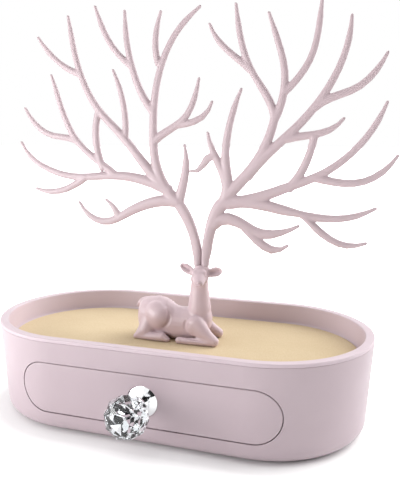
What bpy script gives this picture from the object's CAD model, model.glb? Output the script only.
import math

import bmesh
import bpy
import numpy as np
from mathutils import Matrix, Vector


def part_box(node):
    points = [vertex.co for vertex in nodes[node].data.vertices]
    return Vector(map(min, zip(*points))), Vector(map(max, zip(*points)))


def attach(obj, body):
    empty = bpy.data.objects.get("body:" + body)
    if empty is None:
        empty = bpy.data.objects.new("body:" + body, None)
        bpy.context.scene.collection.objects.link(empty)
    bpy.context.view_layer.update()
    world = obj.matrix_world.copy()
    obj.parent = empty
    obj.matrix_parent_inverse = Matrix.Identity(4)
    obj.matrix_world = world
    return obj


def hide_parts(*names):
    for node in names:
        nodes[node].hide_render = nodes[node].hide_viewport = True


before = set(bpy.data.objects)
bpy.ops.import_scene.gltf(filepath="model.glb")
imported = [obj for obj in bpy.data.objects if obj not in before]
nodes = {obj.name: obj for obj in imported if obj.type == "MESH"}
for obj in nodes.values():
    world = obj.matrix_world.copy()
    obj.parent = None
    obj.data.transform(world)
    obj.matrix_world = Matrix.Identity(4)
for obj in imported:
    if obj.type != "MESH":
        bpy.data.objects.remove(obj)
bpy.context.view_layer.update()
MM = 0.001


def middle_of(node):
    low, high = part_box(node)
    return (low + high) / 2


TRAY = Vector((middle_of("base_shell").x, middle_of("base_shell").y, 0.0))


# ---------------------------------------------------------------- camera, lights and floor
CAMERA_PLACE = TRAY + Vector((133.76, -363.85, 175.46)) * MM
CAMERA_RIGHT = Vector((0.94966, 0.31326, 0.00425))
CAMERA_UP = Vector((-0.05317, 0.14779, 0.98759))
CAMERA_AHEAD = Vector((-0.30874, 0.93810, -0.15701))
SENSOR_HEIGHT = 36.0
FOCAL_LENGTH = 45.12


def add_camera():
    data = bpy.data.cameras.new("studio_camera")
    data.sensor_fit = "VERTICAL"
    data.sensor_height = SENSOR_HEIGHT
    data.lens = FOCAL_LENGTH
    data.clip_start = 0.01
    camera = bpy.data.objects.new("studio_camera", data)
    bpy.context.scene.collection.objects.link(camera)
    turn = Matrix((CAMERA_RIGHT, CAMERA_UP, -CAMERA_AHEAD)).transposed().to_4x4()
    camera.matrix_world = Matrix.Translation(CAMERA_PLACE) @ turn
    bpy.context.scene.camera = camera


def add_node(tree, kind, inputs=None, **settings):
    node = tree.nodes.new(kind)
    for name, value in settings.items():
        setattr(node, name, value)
    for name, value in (inputs or {}).items():
        if isinstance(value, bpy.types.NodeSocket):
            tree.links.new(value, node.inputs[name])
        else:
            node.inputs[name].default_value = value
    return node


def times(tree, first, second):
    return add_node(tree, "ShaderNodeMath", operation="MULTIPLY", inputs={0: first, 1: second}).outputs[0]


def plus(tree, first, second):
    return add_node(tree, "ShaderNodeMath", operation="ADD", inputs={0: first, 1: second}).outputs[0]


# What mirrors and glass see of the room besides white: each dark card has its direction from the object,
# the cosine at its edge and its grey.
DARK_CARDS = [
    ((0.45, -0.85, 0.15), 0.90, 0.03),
    ((0.95, 0.05, 0.32), 0.93, 0.05),
    ((-0.25, -0.85, -0.40), 0.955, 0.10),
    ((-0.80, -0.45, 0.40), 0.965, 0.02),
    ((0.25, -0.75, 0.62), 0.960, 0.03),
    ((0.68, -0.42, 0.58), 0.930, 0.03),
]
CARD_EDGE = 0.004
CARD_ROOM_BRIGHTNESS = 1.1
# The room's own light on the part: an even light, and glows, each with its direction, the cosine at its
# edge and its strength.
ROOM_LIGHT = 0.07
ROOM_GLOWS = {
    "right_behind": ((0.70, 0.55, 0.50), 0.70, 5.2),
    "overhead": ((0.00, 0.00, 1.00), 0.60, 1.55),
    "left_side": ((-1.00, 0.05, 0.12), 0.85, 4.0),
}
# Two small lamps near the left end: place, aim, side and power in watts.
LAMPS = {
    "left_lamp": ((-0.42, -0.34, 0.14), (-0.06, -0.05, 0.03), 0.25, 1.6),
    "front_lamp": ((-0.30, -0.62, 0.25), (-0.08, -0.05, 0.03), 0.25, 0.8),
}
FLOOR_HALF = 40.0
# Where the floor's glow to the eye sets in and is full, from the tray's foot, and its strength.
FLOOR_GLOW_ZONE = (3.0 * MM, 40.0 * MM)
FLOOR_GLOW = 0.8


def toward(tree, ray, direction, low, high, at_low, at_high):
    """A value that goes from one number to another as the ray turns towards a direction."""
    along = add_node(tree, "ShaderNodeVectorMath", operation="DOT_PRODUCT", inputs={0: ray})
    along.inputs[1].default_value = Vector(direction).normalized()
    return add_node(tree, "ShaderNodeMapRange", interpolation_type="SMOOTHSTEP", inputs={
        "Value": along.outputs["Value"], "From Min": low, "From Max": high,
        "To Min": at_low, "To Max": at_high}).outputs["Result"]


def studio_world():
    """A white room for the eye. It lights the part more from some sides than from others, and shows
    mirrors and glass some dark cards."""
    world = bpy.data.worlds.new("studio_room")
    bpy.context.scene.world = world
    world.use_nodes = True
    tree = world.node_tree
    tree.nodes.clear()
    ray = tree.nodes.new("ShaderNodeTexCoord").outputs["Generated"]
    light = ROOM_LIGHT
    for direction, spread, strength in ROOM_GLOWS.values():
        light = plus(tree, toward(tree, ray, direction, spread, 1.0, 0.0, strength), light)
    grey = 1.0
    for direction, reach, shade in DARK_CARDS:
        card = toward(tree, ray, direction, reach - CARD_EDGE, reach + CARD_EDGE, 1.0, shade)
        grey = times(tree, card, grey)
    path = tree.nodes.new("ShaderNodeLightPath")
    mirrored = add_node(tree, "ShaderNodeMath", operation="MAXIMUM", inputs={
        0: path.outputs["Is Glossy Ray"], 1: path.outputs["Is Transmission Ray"]}).outputs[0]
    white = (1.0, 1.0, 1.0, 1.0)
    room = add_node(tree, "ShaderNodeBackground", inputs={"Color": white, "Strength": light})
    seen = add_node(tree, "ShaderNodeBackground", inputs={"Color": white, "Strength": 1.0})
    cards = add_node(tree, "ShaderNodeBackground", inputs={"Color": grey, "Strength": CARD_ROOM_BRIGHTNESS})
    lit = add_node(tree, "ShaderNodeMixShader", inputs={
        0: path.outputs["Is Camera Ray"], 1: room.outputs[0], 2: seen.outputs[0]})
    both = add_node(tree, "ShaderNodeMixShader", inputs={0: mirrored, 1: lit.outputs[0], 2: cards.outputs[0]})
    add_node(tree, "ShaderNodeOutputWorld", inputs={"Surface": both.outputs[0]})


def add_floor():
    """A white table that runs on into the white of the room. To the eye it also glows, from a little way
    outside the tray's foot on."""
    mesh = bpy.data.meshes.new("studio_floor")
    corners = [(FLOOR_HALF * x, FLOOR_HALF * y, 0) for x, y in ((-1, -1), (1, -1), (1, 1), (-1, 1))]
    mesh.from_pydata(corners, [], [(0, 1, 2, 3)])
    floor = bpy.data.objects.new("studio_floor", mesh)
    bpy.context.scene.collection.objects.link(floor)
    material, tree, surface, place = start_material(
        "white_table_sweep", Base_Color=(0.93, 0.93, 0.93, 1.0), Roughness=0.7, Specular_IOR_Level=0.2)
    surface.inputs["Emission Color"].default_value = (1.0, 1.0, 1.0, 1.0)
    low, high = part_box("base_shell")
    half_width = (high.y - low.y) / 2
    straight = (high.x - low.x) / 2 - half_width
    apart = place
    for operation, other in (("SUBTRACT", TRAY), ("ABSOLUTE", None), ("SUBTRACT", (straight, 0.0, 0.0)),
                             ("MAXIMUM", None)):
        step = add_node(tree, "ShaderNodeVectorMath", operation=operation, inputs={0: apart})
        if other is not None:
            step.inputs[1].default_value = other
        apart = step.outputs[0]
    distance = add_node(tree, "ShaderNodeVectorMath", operation="LENGTH", inputs={0: apart}).outputs["Value"]
    start, end = FLOOR_GLOW_ZONE
    glow = remap(tree, distance, half_width + start, half_width + end, 0.0, FLOOR_GLOW)
    eye = tree.nodes.new("ShaderNodeLightPath").outputs["Is Camera Ray"]
    tree.links.new(times(tree, glow, eye), surface.inputs["Emission Strength"])
    mesh.materials.append(material)


def add_lamp(name, place, aim, side, power):
    data = bpy.data.lights.new(name, "AREA")
    data.size = side
    data.energy = power
    lamp = bpy.data.objects.new(name, data)
    bpy.context.scene.collection.objects.link(lamp)
    lamp.location = place
    lamp.rotation_euler = (Vector(aim) - Vector(place)).to_track_quat("-Z", "Y").to_euler()


def light_studio():
    studio_world()
    add_floor()
    for name, (place, aim, side, power) in LAMPS.items():
        add_lamp(name, place, aim, side, power)
    bpy.context.scene.view_settings.view_transform = "Standard"


# ---------------------------------------------------------------- surface effects shared by materials
def effect_group(name, inputs, outputs):
    tree = bpy.data.node_groups.new(name, "ShaderNodeTree")
    for label, kind, value in inputs:
        socket = tree.interface.new_socket(label, in_out="INPUT", socket_type=kind)
        if value is not None:
            socket.default_value = value
    for label, kind in outputs:
        tree.interface.new_socket(label, in_out="OUTPUT", socket_type=kind)
    return tree, tree.nodes.new("NodeGroupInput").outputs, tree.nodes.new("NodeGroupOutput")


def noise(tree, place, scale, detail=2.0, roughness=0.5):
    return add_node(tree, "ShaderNodeTexNoise", inputs={
        "Vector": place, "Scale": scale, "Detail": detail, "Roughness": roughness}).outputs["Fac"]


def remap(tree, value, low, high, to_low, to_high):
    return add_node(tree, "ShaderNodeMapRange", inputs={
        "Value": value, "From Min": low, "From Max": high,
        "To Min": to_low, "To Max": to_high}).outputs["Result"]


def blend_colours(tree, amount, first, second):
    mix = add_node(tree, "ShaderNodeMix", data_type="RGBA")
    for label, value in (("Factor", amount), ("A", first), ("B", second)):
        socket = mix.inputs[label]
        if isinstance(value, bpy.types.NodeSocket):
            tree.links.new(value, socket)
        else:
            socket.default_value = value
    return mix.outputs["Result"]


def moulded_skin_group():
    """Injection moulded plastic: a faint cloudiness in the colour, a polish that changes a little over
    the part, and a fine grain from the mould."""
    tree, given, out = effect_group("moulded_skin", [
        ("Place", "NodeSocketVector", None),
        ("Colour", "NodeSocketColor", (0.8, 0.7, 0.7, 1.0)),
        ("Cloud Colour", "NodeSocketColor", (0.7, 0.6, 0.6, 1.0)),
        ("Cloud Scale", "NodeSocketFloat", 40.0),
        ("Grain Scale", "NodeSocketFloat", 2500.0),
        ("Polish", "NodeSocketFloat", 0.35),
        ("Polish Change", "NodeSocketFloat", 0.1),
    ], [("Colour", "NodeSocketColor"), ("Roughness", "NodeSocketFloat"), ("Height", "NodeSocketFloat")])
    cloud = noise(tree, given["Place"], given["Cloud Scale"], detail=3.0, roughness=0.55)
    cloudy = remap(tree, cloud, 0.35, 0.7, 0.0, 1.0)
    grain = noise(tree, given["Place"], given["Grain Scale"], roughness=0.6)
    wave = noise(tree, given["Place"], times(tree, given["Cloud Scale"], 2.3), detail=1.0)
    tree.links.new(blend_colours(tree, cloudy, given["Colour"], given["Cloud Colour"]), out.inputs["Colour"])
    change = times(tree, given["Polish Change"], remap(tree, wave, 0.3, 0.7, -0.5, 0.5))
    tree.links.new(plus(tree, given["Polish"], change), out.inputs["Roughness"])
    tree.links.new(plus(tree, times(tree, grain, 0.35), wave), out.inputs["Height"])
    return tree


def felt_nap_group():
    """Flocked felt: short fibres that lie in drifts, some paler than the rest."""
    tree, given, out = effect_group("felt_nap", [
        ("Place", "NodeSocketVector", None),
        ("Colour", "NodeSocketColor", (0.8, 0.6, 0.4, 1.0)),
        ("Fibre Colour", "NodeSocketColor", (0.9, 0.8, 0.6, 1.0)),
        ("Fibre Scale", "NodeSocketFloat", 1500.0),
        ("Drift Scale", "NodeSocketFloat", 60.0),
    ], [("Colour", "NodeSocketColor"), ("Height", "NodeSocketFloat")])
    drift = noise(tree, given["Place"], given["Drift Scale"])
    bent = add_node(tree, "ShaderNodeVectorMath", operation="MULTIPLY_ADD", inputs={
        0: add_node(tree, "ShaderNodeTexNoise", inputs={
            "Vector": given["Place"], "Scale": given["Drift Scale"], "Detail": 1.0}).outputs["Color"],
        1: (0.004, 0.004, 0.0), 2: given["Place"]}).outputs[0]
    squeezed = add_node(tree, "ShaderNodeMapping", inputs={
        "Vector": bent, "Rotation": (0.0, 0.0, 0.5), "Scale": (1.0, 0.22, 1.0)}).outputs[0]
    fibres = noise(tree, squeezed, given["Fibre Scale"], detail=4.0, roughness=0.7)
    tufts = noise(tree, given["Place"], times(tree, given["Fibre Scale"], 0.35), roughness=0.6)
    pale = remap(tree, plus(tree, times(tree, fibres, 0.75), times(tree, drift, 0.25)), 0.38, 0.66, 0.0, 1.0)
    tree.links.new(blend_colours(tree, pale, given["Colour"], given["Fibre Colour"]), out.inputs["Colour"])
    tree.links.new(plus(tree, fibres, times(tree, tufts, 0.6)), out.inputs["Height"])
    return tree


def fine_scratch_group():
    """Handled metal: hairlines and a little haze in the polish."""
    tree, given, out = effect_group("fine_scratches", [
        ("Place", "NodeSocketVector", None),
        ("Hairline Scale", "NodeSocketFloat", 900.0),
        ("Polish", "NodeSocketFloat", 0.05),
        ("Haze", "NodeSocketFloat", 0.05),
    ], [("Roughness", "NodeSocketFloat"), ("Height", "NodeSocketFloat")])
    drawn_out = add_node(tree, "ShaderNodeMapping", inputs={
        "Vector": given["Place"], "Rotation": (0.4, 0.7, 0.2), "Scale": (1.0, 0.06, 1.0)}).outputs[0]
    hairlines = noise(tree, drawn_out, given["Hairline Scale"], detail=3.0, roughness=0.6)
    haze = noise(tree, given["Place"], scale=220.0)
    spread = times(tree, given["Haze"], remap(tree, haze, 0.4, 0.75, 0.0, 1.0))
    tree.links.new(plus(tree, given["Polish"], spread), out.inputs["Roughness"])
    tree.links.new(hairlines, out.inputs["Height"])
    return tree


MOULDED_SKIN = moulded_skin_group()
FELT_NAP = felt_nap_group()
FINE_SCRATCHES = fine_scratch_group()


# ---------------------------------------------------------------- materials
def start_material(name, **fixed):
    material = bpy.data.materials.new(name)
    material.use_nodes = True
    tree = material.node_tree
    surface = tree.nodes["Principled BSDF"]
    for label, value in fixed.items():
        surface.inputs[label.replace("_", " ")].default_value = value
    place = tree.nodes.new("ShaderNodeTexCoord").outputs["Object"]
    return material, tree, surface, place


def place_group(tree, group, place, values):
    node = tree.nodes.new("ShaderNodeGroup")
    node.node_tree = group
    tree.links.new(place, node.inputs["Place"])
    for label, value in values.items():
        node.inputs[label].default_value = value
    return node


def add_bump(tree, surface, height, strength, depth):
    bump = add_node(tree, "ShaderNodeBump", inputs={
        "Strength": strength, "Distance": depth, "Height": height})
    tree.links.new(bump.outputs["Normal"], surface.inputs["Normal"])


def moulded_plastic(name, colour, cloud_colour, polish=0.36, **fixed):
    material, tree, surface, place = start_material(name, **fixed)
    skin = place_group(tree, MOULDED_SKIN, place, {
        "Colour": colour, "Cloud Colour": cloud_colour, "Cloud Scale": 38.0, "Grain Scale": 2600.0,
        "Polish": polish, "Polish Change": 0.08})
    tree.links.new(skin.outputs["Colour"], surface.inputs["Base Color"])
    tree.links.new(skin.outputs["Roughness"], surface.inputs["Roughness"])
    add_bump(tree, surface, skin.outputs["Height"], strength=0.25, depth=0.00005)
    return material


def felt(name, colour, fibre_colour, fibre_scale):
    material, tree, surface, place = start_material(
        name, Roughness=0.92, Sheen_Weight=0.35, Sheen_Roughness=0.6, Specular_IOR_Level=0.15)
    surface.inputs["Sheen Tint"].default_value = (1.0, 0.93, 0.8, 1.0)
    nap = place_group(tree, FELT_NAP, place, {
        "Colour": colour, "Fibre Colour": fibre_colour, "Fibre Scale": fibre_scale, "Drift Scale": 55.0})
    tree.links.new(nap.outputs["Colour"], surface.inputs["Base Color"])
    add_bump(tree, surface, nap.outputs["Height"], strength=0.5, depth=0.00025)
    return material


def polished_metal(name, colour, polish, haze, hairline_depth):
    material, tree, surface, place = start_material(name, Metallic=1.0, Base_Color=colour)
    scratches = place_group(tree, FINE_SCRATCHES, place, {
        "Hairline Scale": 900.0, "Polish": polish, "Haze": haze})
    tree.links.new(scratches.outputs["Roughness"], surface.inputs["Roughness"])
    add_bump(tree, surface, scratches.outputs["Height"], strength=0.2, depth=hairline_depth)
    return material


def cut_crystal(name):
    material, tree, surface, place = start_material(
        name, Base_Color=(0.96, 0.98, 1.0, 1.0), IOR=1.56, Transmission_Weight=1.0, Metallic=0.0)
    smears = noise(tree, place, scale=160.0)
    tree.links.new(remap(tree, smears, 0.3, 0.8, 0.0, 0.02), surface.inputs["Roughness"])
    return material


PINK = moulded_plastic(
    "dusty_pink_plastic", (0.482, 0.392, 0.424, 1.0), (0.468, 0.378, 0.411, 1.0), Specular_IOR_Level=0.42)
FIGURE_PINK = moulded_plastic(
    "figure_pink_plastic", (0.590, 0.462, 0.492, 1.0), (0.572, 0.446, 0.478, 1.0), polish=0.34)
INSERT_PINK = moulded_plastic(
    "insert_pink_plastic", (0.570, 0.468, 0.508, 1.0), (0.556, 0.454, 0.495, 1.0), polish=0.38)
ANTLER_PINK = moulded_plastic(
    "antler_pink_plastic", (0.500, 0.394, 0.420, 1.0), (0.486, 0.382, 0.407, 1.0), polish=0.38)
FELT_PAD = felt(
    "beige_felt_pad", (0.500, 0.375, 0.215, 1.0), (0.560, 0.440, 0.270, 1.0), fibre_scale=1500.0)
FELT_LINING = felt(
    "beige_felt_lining", (0.480, 0.360, 0.205, 1.0), (0.540, 0.425, 0.260, 1.0), fibre_scale=1700.0)
CHROME = polished_metal(
    "polished_chrome", (0.86, 0.87, 0.88, 1.0), polish=0.035, haze=0.04, hairline_depth=0.00001)
STEEL = polished_metal(
    "plated_screw_steel", (0.62, 0.62, 0.64, 1.0), polish=0.24, haze=0.12, hairline_depth=0.00003)
CRYSTAL = cut_crystal("cut_crystal")
SILVERED = polished_metal(
    "silvered_facets", (0.90, 0.91, 0.92, 1.0), polish=0.03, haze=0.03, hairline_depth=0.000005)
RUBBER = moulded_plastic(
    "grey_rubber", (0.055, 0.055, 0.058, 1.0), (0.042, 0.042, 0.045, 1.0), polish=0.8)
RUNNER = moulded_plastic(
    "runner_white_plastic", (0.700, 0.690, 0.660, 1.0), (0.670, 0.655, 0.620, 1.0), polish=0.45)

NODE_MATERIALS = {
    PINK: ["base_shell", "drawer_front", "drawer_box"],
    INSERT_PINK: ["tray_insert"],
    CHROME: ["knob_stem"],
    STEEL: ["tray_screws", "runner_screws", "deer_screws", "front_screws", "knob_screw", "knob_washer"],
    RUBBER: ["rubber_feet"],
    RUNNER: ["runner_left", "runner_right"],
}


def dress_nodes():
    """Gives the CAD nodes their materials."""
    for material, names in NODE_MATERIALS.items():
        for name in names:
            for holder in nodes[name].material_slots:
                holder.material = material


# ---------------------------------------------------------------- mesh tools
WELD_DISTANCE = 1e-6
# What share of the way to its neighbours' middle a point goes in each round of sanding, and then back.
SANDING_SHARES = (0.50, -0.53)
FILLING_SHARE = 0.6
# Rounds of sanding before and after the fillets.
FIRST_SANDING = 6
LAST_SANDING = 12


def add_piece(name, mesh, material, body, smooth=True):
    piece = bpy.data.objects.new(name, mesh)
    bpy.context.scene.collection.objects.link(piece)
    mesh.materials.clear()
    mesh.materials.append(material)
    for face in mesh.polygons:
        face.use_smooth = smooth
    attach(piece, body)
    return piece


def welded_copy(node, name):
    """A copy of a node's mesh whose faces share their corners."""
    form = bmesh.new()
    form.from_mesh(nodes[node].data)
    bmesh.ops.remove_doubles(form, verts=form.verts, dist=WELD_DISTANCE)
    mesh = bpy.data.meshes.new(name)
    form.to_mesh(mesh)
    form.free()
    mesh.materials.clear()
    return mesh


def one_skin(mesh, voxel):
    """A new even mesh round everything that the mesh encloses."""
    holder = bpy.data.objects.new("workpiece", mesh)
    bpy.context.scene.collection.objects.link(holder)
    modifier = holder.modifiers.new("REMESH", "REMESH")
    modifier.mode = "VOXEL"
    modifier.voxel_size = voxel
    modifier.adaptivity = 0.0
    seen = holder.evaluated_get(bpy.context.evaluated_depsgraph_get())
    result = bpy.data.meshes.new_from_object(seen)
    result.name = mesh.name
    bpy.data.objects.remove(holder)
    return result


def points_of(mesh):
    points = np.empty(len(mesh.vertices) * 3)
    mesh.vertices.foreach_get("co", points)
    return points.reshape(-1, 3)


def set_points(mesh, points):
    mesh.vertices.foreach_set("co", points.astype(np.float32).ravel())
    mesh.update()


def normals_of(mesh):
    normals = np.empty(len(mesh.vertices) * 3)
    mesh.vertices.foreach_get("normal", normals)
    return normals.reshape(-1, 3)


def edge_ends(mesh):
    ends = np.empty(len(mesh.edges) * 2, np.int64)
    mesh.edges.foreach_get("vertices", ends)
    return ends.reshape(-1, 2).T


def pull_to_neighbours(points, first, second):
    """From each point to the middle of the points it shares an edge with."""
    count = len(points)
    neighbours = np.bincount(first, minlength=count) + np.bincount(second, minlength=count)
    middle = np.empty_like(points)
    for axis in range(3):
        middle[:, axis] = (np.bincount(first, points[second, axis], count)
                           + np.bincount(second, points[first, axis], count))
    return middle / np.maximum(neighbours, 1)[:, None] - points


def sanded(mesh, rounds):
    """Smooths a mesh as fine sanding does, with no loss of size: each round moves every point towards the
    middle of its neighbours and then a little further back out."""
    points = points_of(mesh)
    first, second = edge_ends(mesh)
    for _ in range(rounds):
        for share in SANDING_SHARES:
            points += share * pull_to_neighbours(points, first, second)
    set_points(mesh, points)
    return mesh


def filled_corners(mesh, rounds):
    """Rounds the inner corners as a mould's fillets do: hollow points move out, the others stay."""
    first, second = edge_ends(mesh)
    for _ in range(rounds):
        points, normals = points_of(mesh), normals_of(mesh)
        rise = np.einsum("ij,ij->i", pull_to_neighbours(points, first, second), normals)
        set_points(mesh, points + normals * (FILLING_SHARE * np.clip(rise, 0.0, None))[:, None])
    return mesh


def moulded_form(mesh, voxel, fillet_rounds):
    """One skin over the parts of a form, with its inner corners rounded."""
    mesh = sanded(one_skin(mesh, voxel), FIRST_SANDING)
    mesh = one_skin(filled_corners(mesh, fillet_rounds), voxel)
    return sanded(mesh, LAST_SANDING)


# ---------------------------------------------------------------- antlers
ANTLER_VOXEL = 0.46 * MM
ANTLER_FILLET_ROUNDS = 40
ANTLER_SANDING = 6
ROOT_HEIGHT = 3.0 * MM
PEG_LENGTH = 8 * MM
# A tip is further from the root than all points within the first number of edges from it, and its distance
# from the root is more than the second.
TIP_WINDOW = 12
TIP_FIRST_STEP = 40
TIP_SPACING = 4.0 * MM
# The points this near a tip show which way its branch runs.
TIP_CAP = 4.0 * MM
TIP_REACH = 12.0 * MM
TIP_THINNING = 0.28 * MM
TIP_STRETCH = 1.3 * MM
# How far each side of a limb moves out, near the crown and far from it.
TRUNK_GROWTH = 1.7 * MM
LIMB_GROWTH = 0.55 * MM
# Heights over the crown between which this growth sets in; the second pair is for the side that faces the
# other antler.
CROWN_ZONE = (0.0, 12 * MM)
INNER_SIDE_ZONE = (18 * MM, 40 * MM)
# Distances from the crown between which it falls from the trunk's to the limbs'.
LIMB_ZONE = (20 * MM, 100 * MM)
# Distances from a tip between which it comes back from nothing.
TIP_ZONE = (0.0, 14 * MM)


def steps_from_root(mesh, points):
    """How many edges each point is away from the antler's root."""
    first, second = edge_ends(mesh)
    steps = np.full(len(points), -1)
    front = points[:, 2] < points[:, 2].min() + ROOT_HEIGHT
    step = 0
    while front.any():
        steps[front] = step
        reached = np.zeros(len(points), bool)
        reached[second[front[first]]] = True
        reached[first[front[second]]] = True
        front = reached & (steps < 0)
        step += 1
    return steps


def branch_tips(mesh, points):
    """The end of each branch: a point that is further from the root than all points around it."""
    first, second = edge_ends(mesh)
    steps = steps_from_root(mesh, points)
    furthest = steps.copy()
    for _ in range(TIP_WINDOW):
        wider = furthest.copy()
        np.maximum.at(wider, first, furthest[second])
        np.maximum.at(wider, second, furthest[first])
        furthest = wider
    tips = []
    for tip in points[(steps == furthest) & (steps > TIP_FIRST_STEP)]:
        if all(np.linalg.norm(tip - other) > TIP_SPACING for other in tips):
            tips.append(tip)
    return tips


def thin_tips(mesh, tips):
    """Draws each branch out to a thin end."""
    points, normals = points_of(mesh), normals_of(mesh)
    for tip in tips:
        away = np.linalg.norm(points - tip, axis=1)
        ahead = tip - points[away < TIP_CAP].mean(axis=0)
        ahead /= np.linalg.norm(ahead)
        near = np.clip(1.0 - away / TIP_REACH, 0.0, 1.0)
        points += ahead * (TIP_STRETCH * near ** 2)[:, None] - normals * (TIP_THINNING * near)[:, None]
    set_points(mesh, points)
    return mesh


def ramp(values, start, end):
    """0 up to start, 1 from end on, and a smooth rise between."""
    share = np.clip((values - start) / (end - start), 0.0, 1.0)
    return share * share * (3.0 - 2.0 * share)


def widen_limbs(mesh, tips, outer_side):
    """Makes trunk and limbs wider in the antler's own plane. Just over the crown the side that faces the
    other antler keeps its place, and so do the tips."""
    points, normals = points_of(mesh), normals_of(mesh)
    foot = points[:, 2].min()
    root = points[points[:, 2] < foot + ROOT_HEIGHT].mean(axis=0)
    height = points[:, 2] - foot - PEG_LENGTH
    spread = np.hypot(points[:, 0] - root[0], height)
    facing_in = np.clip(-outer_side * normals[:, 0], 0.0, 1.0)
    growth = LIMB_GROWTH + (TRUNK_GROWTH - LIMB_GROWTH) * (1.0 - ramp(spread, *LIMB_ZONE))
    growth *= ramp(height, *CROWN_ZONE)
    growth *= 1.0 - facing_in * (1.0 - ramp(height, *INNER_SIDE_ZONE))
    for tip in tips:
        growth *= ramp(np.linalg.norm(points - tip, axis=1), *TIP_ZONE)
    points[:, 0] += normals[:, 0] * growth
    points[:, 2] += normals[:, 2] * growth
    set_points(mesh, points)
    return mesh


def build_antler(node, outer_side):
    """The antler as moulded: fillets where limbs meet, and branches that thin out to their ends. The outer
    side is -1 or 1 along x."""
    mesh = moulded_form(welded_copy(node, f"{node}_moulding"), ANTLER_VOXEL, ANTLER_FILLET_ROUNDS)
    tips = branch_tips(mesh, points_of(mesh))
    mesh = one_skin(widen_limbs(thin_tips(mesh, tips), tips, outer_side), ANTLER_VOXEL)
    piece = add_piece(f"{node}_moulding", sanded(mesh, ANTLER_SANDING), ANTLER_PINK, "stand")
    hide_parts(node)


# ---------------------------------------------------------------- deer
# The figure is shaped from beads: each chain is a list of stations (across, deep, up), in millimetres from
# the point of the pad under the figure's middle, and at each station the bead's three radii.
PAD_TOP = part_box("tray_pad")[1].z
DEER_VOXEL = 0.38 * MM
DEER_FILLET_ROUNDS = 14
DEER_SANDING = 2
BEAD_STEP = 0.6

TORSO = [
    ((-27.4, 0, 14.0), (1.2, 4.5, 6.5)), ((-26.6, 0, 14.0), (2, 6.5, 9.4)),
    ((-24.5, 0, 14.0), (3, 8.4, 11.8)), ((-21.0, 0, 14.0), (4, 9.6, 13.1)),
    ((-14.3, 0, 14.0), (4, 10.2, 13.9)), ((-8.0, 0, 13.2), (4, 9.8, 12.9)),
    ((-2.3, 0, 10.8), (4, 9.2, 11.3)), ((3.0, 0, 10.6), (4, 8.9, 11.0)),
    ((9.0, 0, 11.2), (4, 8.5, 12.0)), ((15.0, 0, 12.2), (4, 7.8, 11.8)),
    ((19.2, 0, 14.8), (3.2, 5.6, 7.4)),
]
NECK = [
    ((13.4, 0, 14.0), (8.6, 7.4, 4)), ((13.8, 0, 22.0), (7.7, 7.1, 4)),
    ((13.9, 0, 29.6), (6.7, 6.3, 4)), ((13.9, -0.2, 35.8), (5.9, 5.6, 4)),
    ((14.2, -0.8, 41.0), (5.4, 5.2, 4)),
]
CROWN = [((14.6, -0.4, 45.0), (5.3, 4.0, 2.5)), ((15.3, 0, 49.4), (4.9, 3.3, 1.5))]
TAIL = [
    ((-23.5, 0, 24.2), (2.4,) * 3), ((-26.6, 0, 23.6), (1.8,) * 3), ((-28.8, 0, 21.8), (1.3,) * 3),
    ((-30.0, 0, 19.9), (0.7,) * 3),
]
HAUNCH = [((-14.0, 6.0, 16.0), (8.6, 5.6, 9.8)), ((-11.9, 6.3, 15.5), (8.4, 6.2, 8.6))]
BUTTOCK = [
    ((-19.5, 5.4, 9.6), (6.4, 5.4, 9.0)), ((-21.5, 7.6, 5.2), (5.4, 4.4, 5.2)),
    ((-26.0, 9.3, 2.4), (2.4,) * 3),
]
HIND_SHIN = [
    ((-27.4, 9.8, 1.7), (1.7,) * 3), ((-20.0, 10.1, 2.2), (2.2,) * 3), ((-12.0, 10.4, 2.9), (2.9,) * 3),
    ((-8.6, 10.4, 3.0), (3.0,) * 3), ((-4.5, 10.6, 1.7), (1.6,) * 3),
]
UPPER_ARM = [
    ((12.4, 6.6, 10.6), (5.6, 4.6, 6.4)), ((13.4, 6.7, 12.4), (6.2, 4.6, 6.4)),
    ((17.2, 7.6, 9.2), (5.3, 4.2, 5.6)), ((22.2, 8.8, 6.0), (3.9, 3.4, 3.9)),
    ((26.9, 9.6, 3.4), (3.0, 3.0, 3.0)),
]
FORELEG = [
    ((26.9, 9.8, 2.8), (2.8,) * 3), ((16.0, 10.4, 2.3), (2.3,) * 3), ((8.0, 10.7, 2.1), (2.1,) * 3),
    ((3.2, 10.7, 2.1), (2.2,) * 3),
]
FAR_ARM_SHIFT = -2.5
# The head has its own axes, turned towards the front right: (side, ahead, up) from the middle of the skull.
HEAD_MIDDLE = Vector((14.5, -1.6, 44.2))
HEAD_TURN = math.radians(14.0)
SKULL = [((0, -0.6, 0.4), (5.3, 4.9, 5.0)), ((0, 1.8, 0.4), (4.9, 4.4, 4.6))]
MUZZLE = [
    ((0, 3.2, -0.9), (4.6, 3.8, 4.2)), ((0, 6.8, -2.1), (4.0, 3.2, 3.4)),
    ((0, 9.4, -2.9), (3.3, 2.6, 2.7)),
]
CHEEK = [((2.9, 2.4, -1.9), (2.8, 3.3, 3.0))]
BROW = [((2.7, 3.4, 2.3), (1.7, 2.0, 1.3))]
EYE = (3.9, 4.2, 0.7)
LEFT_EAR = [
    ((10.0, -0.6, 44.8), (1.8,) * 3), ((6.6, -0.3, 46.8), (3.0, 1.4, 3.0)),
    ((4.4, 0, 47.9), (3.2, 1.4, 3.2)), ((2.2, 0, 49.0), (2.1, 1.3, 2.1)), ((1.5, 0, 49.4), (1.2,) * 3),
]
RIGHT_EAR = [
    ((18.8, -0.6, 44.8), (1.8,) * 3), ((22.4, 0, 46.1), (3.0, 1.4, 3.0)),
    ((25.0, 0, 46.8), (3.3, 1.4, 3.3)), ((26.9, 0, 47.3), (2.2, 1.3, 2.2)),
    ((27.7, 0, 47.6), (1.2,) * 3),
]
EAR_THICKNESS = 1.5


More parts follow.
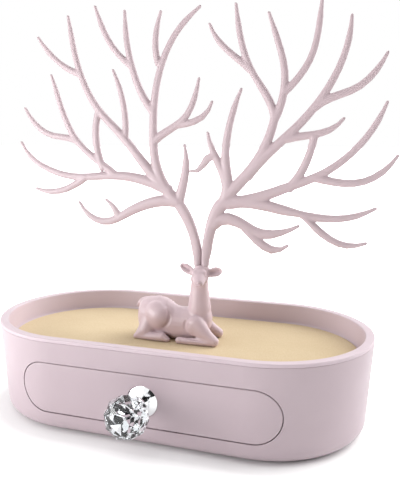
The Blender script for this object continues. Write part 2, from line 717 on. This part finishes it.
def deer_place(across, deep, up):
    return TRAY + Vector((across * MM, deep * MM, PAD_TOP + up * MM))


def head_place(side, ahead, up):
    cosine, sine = math.cos(HEAD_TURN), math.sin(HEAD_TURN)
    offset = Vector((side * cosine + ahead * sine, side * sine - ahead * cosine, up))
    return deer_place(*(HEAD_MIDDLE + offset))


def chain_of_beads(stations, where=deer_place, mirror=1.0, axis=1, shift=0.0):
    """Beads at close steps from station to station, each its middle and radii; mirror -1 puts them on the
    other side of the axis."""
    beads = []
    for (start, start_radii), (end, end_radii) in zip(stations, stations[1:]):
        start, end, start_radii, end_radii = map(Vector, (start, end, start_radii, end_radii))
        steps = math.ceil(max((end - start).length, (end_radii - start_radii).length) / BEAD_STEP)
        for step in range(steps + 1):
            point = list(start.lerp(end, step / steps))
            point[0] += shift
            point[axis] *= mirror
            beads.append((where(*point), start_radii.lerp(end_radii, step / steps)))
    return beads


def deer_beads():
    beads = []
    for chain in (TORSO, NECK, CROWN, TAIL, LEFT_EAR, RIGHT_EAR):
        beads += chain_of_beads(chain)
    for flank, arm_shift in ((-1.0, 0.0), (1.0, FAR_ARM_SHIFT)):
        for chain in (HAUNCH, BUTTOCK, HIND_SHIN):
            beads += chain_of_beads(chain, mirror=flank)
        for chain in (UPPER_ARM, FORELEG):
            beads += chain_of_beads(chain, mirror=flank, shift=arm_shift)
        for middle, radii in CHEEK + BROW:
            beads.append((head_place(flank * middle[0], *middle[1:]), Vector(radii)))
    for chain in (SKULL, MUZZLE):
        beads += chain_of_beads(chain, head_place)
    return beads


def mesh_of_beads(name, beads):
    """All the beads in one mesh, still overlapping."""
    ball = bmesh.new()
    bmesh.ops.create_icosphere(ball, subdivisions=3, radius=1.0)
    ball_points = np.array([point.co for point in ball.verts])
    ball_faces = np.array([[point.index for point in face.verts] for face in ball.faces])
    ball.free()
    points = np.concatenate([
        ball_points * (np.array(radii) * MM) + np.array(middle) for middle, radii in beads])
    first_points = np.arange(len(beads)) * len(ball_points)
    faces = (ball_faces[None] + first_points[:, None, None]).reshape(-1, 3)
    mesh = bpy.data.meshes.new(name)
    mesh.from_pydata(points, [], faces.tolist())
    return mesh


def distance_to_path(points, path):
    """How far each point is from a line through the places of the path."""
    nearest = np.full(len(points), 1e9)
    for start, end in zip(path, path[1:]):
        start, run = np.array(start), np.array(end) - np.array(start)
        share = np.clip(((points - start) @ run) / (run @ run), 0.0, 1.0)
        nearest = np.minimum(nearest, np.linalg.norm(points - start - share[:, None] * run, axis=1))
    return nearest


def press_in(mesh, path, width, depth):
    """Presses a rounded groove along a path; a depth below zero raises a ridge."""
    points, normals = points_of(mesh), normals_of(mesh)
    near = np.clip(1.0 - (distance_to_path(points, path) / (width * MM)) ** 2, 0.0, 1.0) ** 2
    points -= normals * (near * depth * MM)[:, None]
    set_points(mesh, points)


# Creases and folds: places on one flank or one side of the head, then how wide and how deep they are.
FLANK_CREASES = [
    ([(-5.0, 8.0, 21.8), (-4.0, 8.9, 18.5), (-3.5, 9.4, 15.9), (-4.2, 9.8, 13.0), (-5.7, 10.2, 10.6),
      (-8.2, 10.8, 8.3), (-11.0, 11.4, 6.9)], 1.7, 0.75),
    ([(7.2, 8.6, 14.5), (6.6, 9.1, 10.5), (7.2, 9.6, 7.5), (8.4, 10.6, 5.6)], 1.4, 0.5),
    ([(9.0, 8.2, 17.2), (14.0, 7.8, 19.4), (18.4, 7.0, 18.0)], 1.4, 0.4),
    ([(8.4, 11.2, 5.0), (14.0, 11.8, 4.1), (21.0, 12.0, 3.2)], 1.1, 0.7),
    ([(5.6, 12.6, 4.0), (5.2, 13.0, 2.0), (5.4, 12.2, 0.4)], 0.6, 0.3),
]
HEAD_CREASES = [
    ([(4.6, 2.6, 0.6), (4.4, 4.2, -0.1), (3.6, 5.8, 0.3)], 0.6, 0.45),
    ([(1.1, 11.6, -2.3), (1.4, 11.7, -2.5)], 0.8, 0.7),
    ([(0.0, 12.0, -3.9), (2.2, 10.8, -3.7), (3.7, 8.0, -3.2), (4.8, 5.2, -2.8)], 0.8, 1.1),
]


def carve_deer(mesh):
    """Presses in the ears' hollows, the creases and the folds, and raises the eyes."""
    for ear in (LEFT_EAR, RIGHT_EAR):
        axis_line = [deer_place(across, deep - EAR_THICKNESS, up) for (across, deep, up), _ in ear[1:4]]
        press_in(mesh, axis_line, width=2.6, depth=2.3)
    for flank in (-1.0, 1.0):
        for path, width, depth in FLANK_CREASES:
            press_in(mesh, [deer_place(across, flank * deep, up) for across, deep, up in path], width, depth)
        eye_line = [head_place(flank * EYE[0], EYE[1] + offset, EYE[2]) for offset in (-0.6, 0.6)]
        press_in(mesh, eye_line, width=1.5, depth=-0.5)
        for path, width, depth in HEAD_CREASES:
            press_in(mesh, [head_place(flank * side, ahead, up) for side, ahead, up in path], width, depth)


def build_deer():
    """The lying deer, flat underneath where it rests on the pad."""
    mesh = moulded_form(mesh_of_beads("deer_figure", deer_beads()), DEER_VOXEL, DEER_FILLET_ROUNDS)
    carve_deer(mesh)
    points = points_of(sanded(mesh, DEER_SANDING))
    points[:, 2] = np.maximum(points[:, 2], PAD_TOP)
    set_points(mesh, points)
    piece = add_piece("deer_figure", mesh, FIGURE_PINK, "stand")
    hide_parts("deer")


# ---------------------------------------------------------------- felt pad and drawer lining
def mesh_of_rings(name, rings, joined):
    """Rings of equal count with a band of faces from each to the next, and if joined, from last to first."""
    count = len(rings[0])
    faces = []
    for level in range(len(rings) if joined else len(rings) - 1):
        here, there = level * count, (level + 1) % len(rings) * count
        for step in range(count):
            following = (step + 1) % count
            faces.append((here + step, here + following, there + following, there + step))
    mesh = bpy.data.meshes.new(name)
    mesh.from_pydata([point for ring in rings for point in ring], [], faces)
    return mesh


def ring_sheet(name, rings):
    """A closed sheet from rings that run from the underside's middle over the edge to the top's middle."""
    mesh = mesh_of_rings(name, rings, joined=False)
    form = bmesh.new()
    form.from_mesh(mesh)
    bmesh.ops.remove_doubles(form, verts=form.verts, dist=WELD_DISTANCE)
    bmesh.ops.recalc_face_normals(form, faces=form.faces)
    form.to_mesh(mesh)
    form.free()
    return mesh


def rounded_outline(half_length, half_width, corner, count):
    """Points at even steps round a rectangle with round corners; a stadium has the half width as corner."""
    straight_x = 2 * (half_length - corner)
    straight_y = 2 * (half_width - corner)
    bend = math.pi / 2 * corner
    runs = [(straight_y, "right"), (bend, 0), (straight_x, "top"), (bend, 1), (straight_y, "left"), (bend, 2),
            (straight_x, "bottom"), (bend, 3)]
    total = 2 * (straight_x + straight_y) + 4 * bend
    starts = {
        "right": ((half_length, -straight_y / 2), (0, 1)),
        "top": ((straight_x / 2, half_width), (-1, 0)),
        "left": ((-half_length, straight_y / 2), (0, -1)),
        "bottom": ((-straight_x / 2, -half_width), (1, 0)),
    }
    centres = [(1, 1), (-1, 1), (-1, -1), (1, -1)]
    points = []
    for step in range(count):
        left = total * step / count
        for length, kind in runs:
            if left <= length:
                break
            left -= length
        if isinstance(kind, str):
            (x, y), (ahead_x, ahead_y) = starts[kind]
            points.append((x + ahead_x * left, y + ahead_y * left))
        else:
            angle = kind * math.pi / 2 + left / max(corner, 1e-9)
            sign_x, sign_y = centres[kind]
            points.append((sign_x * straight_x / 2 + corner * math.cos(angle),
                           sign_y * straight_y / 2 + corner * math.sin(angle)))
    return points


# The insets of the rings on a sheet's top, as shares of its half width.
TOP_RINGS = [0.02, 0.04, 0.08, 0.14, 0.22, 0.32, 0.44, 0.58, 0.72, 0.86, 1.0]
POINTS_PER_RING = 288
EDGE_ROLL = 0.5 * MM
EDGE_STEPS = 4
# Waves in the nap: each has its share, and along x and along y its radians per metre and its phase.
NAP_WAVES = [(1.0, 61.0, 1.3, 83.0, 0.4), (0.5, 173.0, 0.0, 149.0, 2.0)]
NAP_HEIGHT = 0.03 * MM
LINING_CORNER = 2.0 * MM
# A corner larger than any sheet's half width makes its ends half round.
ROUND_ENDS = 1.0


def felt_sheet(name, node, corner, body, material):
    """The sheet in its CAD node's place, with a rolled edge and a nap that is never quite level."""
    low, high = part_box(node)
    centre = (low + high) / 2
    half_length, half_width = (high.x - low.x) / 2, (high.y - low.y) / 2
    corner = min(corner, half_width)
    profile = [(half_width, low.z), (half_width * 0.5, low.z), (EDGE_ROLL, low.z)]
    for turn in range(EDGE_STEPS + 1):
        angle = -math.pi / 2 + math.pi * turn / EDGE_STEPS
        inset = EDGE_ROLL * (1 - math.cos(angle))
        lift = high.z - EDGE_ROLL if turn > EDGE_STEPS / 2 else low.z + EDGE_ROLL
        profile.append((inset, lift + EDGE_ROLL * math.sin(angle)))
    profile += [(half_width * share, high.z) for share in TOP_RINGS]
    rings = []
    for inset, height in profile:
        outline = rounded_outline(
            half_length - inset, half_width - inset, max(corner - inset, 0.0), POINTS_PER_RING)
        rings.append([(centre.x + x, centre.y + y, height) for x, y in outline])
    mesh = ring_sheet(name, rings)
    points = points_of(mesh)
    top = points[:, 2] > high.z - 0.05 * MM
    x, y = points[top, 0], points[top, 1]
    for share, wave_x, phase_x, wave_y, phase_y in NAP_WAVES:
        wave = np.sin(x * wave_x + phase_x) * np.sin(y * wave_y + phase_y)
        points[top, 2] += NAP_HEIGHT * share * (wave - 1.0)
    set_points(mesh, points)
    piece = add_piece(name, mesh, material, body)
    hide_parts(node)


# ---------------------------------------------------------------- knob
def knob_ring(node, out, forward, count, turn=0.0):
    """Points round the knob's axis, so far out from it and so far forward of the node's back."""
    low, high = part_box(node)
    ring = []
    for step in range(count):
        angle = 2 * math.pi * step / count + turn
        ring.append(((low.x + high.x) / 2 + out * math.cos(angle), high.y - forward,
                     (low.z + high.z) / 2 + out * math.sin(angle)))
    return ring


# The ball's rings of corners: share of the depth from the back forward, share of the radius, and turn in
# half steps.
CRYSTAL_CUTS = [(1.0, 0.50, 0), (0.83, 0.855, 1), (0.54, 1.0, 0), (0.26, 0.90, 1), (0.0, 0.56, 0)]
FACETS_AROUND = 8
CRYSTAL_TURN = math.radians(8)
BORE_DEPTH = 0.28
# The facets that face the drawer more than this are silvered, and throw the light back through the ball.
SILVERED_FROM = 0.55


def build_crystal():
    """A cut ball on the knob's axis: a flat table in front, bands of facets, and at its back the cone that
    takes the screw's end."""
    low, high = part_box("knob_crystal")
    radius, depth = (high.x - low.x) / 2, high.y - low.y
    form = bmesh.new()
    rings = []
    for forward, wide, half_steps in CRYSTAL_CUTS:
        turn = math.pi * half_steps / FACETS_AROUND + CRYSTAL_TURN
        ring = knob_ring("knob_crystal", radius * wide, depth * forward, FACETS_AROUND, turn)
        rings.append([form.verts.new(point) for point in ring])
    form.faces.new(rings[0])
    bore = form.verts.new(((low.x + high.x) / 2, high.y - depth * BORE_DEPTH, (low.z + high.z) / 2))
    for step in range(FACETS_AROUND):
        form.faces.new((rings[-1][step], rings[-1][(step + 1) % FACETS_AROUND], bore))
    for (outer, (_, _, turned)), inner in zip(zip(rings, CRYSTAL_CUTS), rings[1:]):
        for step in range(FACETS_AROUND):
            following = (step + 1) % FACETS_AROUND
            if turned:
                form.faces.new((outer[step], inner[following], inner[step]))
                form.faces.new((outer[step], outer[following], inner[following]))
            else:
                form.faces.new((outer[step], outer[following], inner[step]))
                form.faces.new((outer[following], inner[following], inner[step]))
    bmesh.ops.recalc_face_normals(form, faces=form.faces)
    mesh = bpy.data.meshes.new("crystal_ball")
    form.to_mesh(mesh)
    form.free()
    piece = add_piece("crystal_ball", mesh, CRYSTAL, "drawer", smooth=False)
    mesh.materials.append(SILVERED)
    for face in mesh.polygons:
        face.material_index = int(face.normal.y > SILVERED_FROM)
    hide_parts("knob_crystal")


ROSETTE_SEAT = 5.3 * MM
ROSETTE_BORE = 2.3 * MM
ROSETTE_EDGE = 0.3 * MM
ROSETTE_ROUND = 0.5 * MM
ROSETTE_SLOPE = math.radians(22)
ROSETTE_POINTS = 128
ROUND_STEPS = 8
SHARP_FROM = math.radians(30)


def build_rosette():
    """The chrome disc between drawer and stem: a rounded rim, and a cone that rises to the stem's seat."""
    low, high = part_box("knob_rosette")
    radius, thickness = (high.x - low.x) / 2, high.y - low.y
    profile = [(ROSETTE_BORE, 0.0), (radius, 0.0)]
    for step in range(ROUND_STEPS + 1):
        turn = (math.pi / 2 - ROSETTE_SLOPE) * step / ROUND_STEPS
        out = radius - ROSETTE_ROUND * (1 - math.cos(turn))
        profile.append((out, ROSETTE_EDGE + ROSETTE_ROUND * math.sin(turn)))
    brink, rise = profile[-1]
    top = rise + (brink - ROSETTE_SEAT) * math.tan(ROSETTE_SLOPE)
    profile += [(ROSETTE_SEAT, top), (ROSETTE_SEAT, thickness), (ROSETTE_BORE, thickness)]
    rings = [knob_ring("knob_rosette", out, forward, ROSETTE_POINTS) for out, forward in profile]
    mesh = mesh_of_rings("rosette_disc", rings, joined=True)
    mesh.update()
    piece = add_piece("rosette_disc", mesh, CHROME, "drawer")
    mesh.set_sharp_from_angle(angle=SHARP_FROM)
    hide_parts("knob_rosette")


# ---------------------------------------------------------------- the stand
add_camera()
light_studio()
dress_nodes()
build_antler("antler_left", -1.0)
build_antler("antler_right", 1.0)
build_deer()
felt_sheet("tray_felt_pad", "tray_pad", ROUND_ENDS, "stand", FELT_PAD)
felt_sheet("drawer_felt_lining", "drawer_lining", LINING_CORNER, "drawer", FELT_LINING)
build_rosette()
build_crystal()
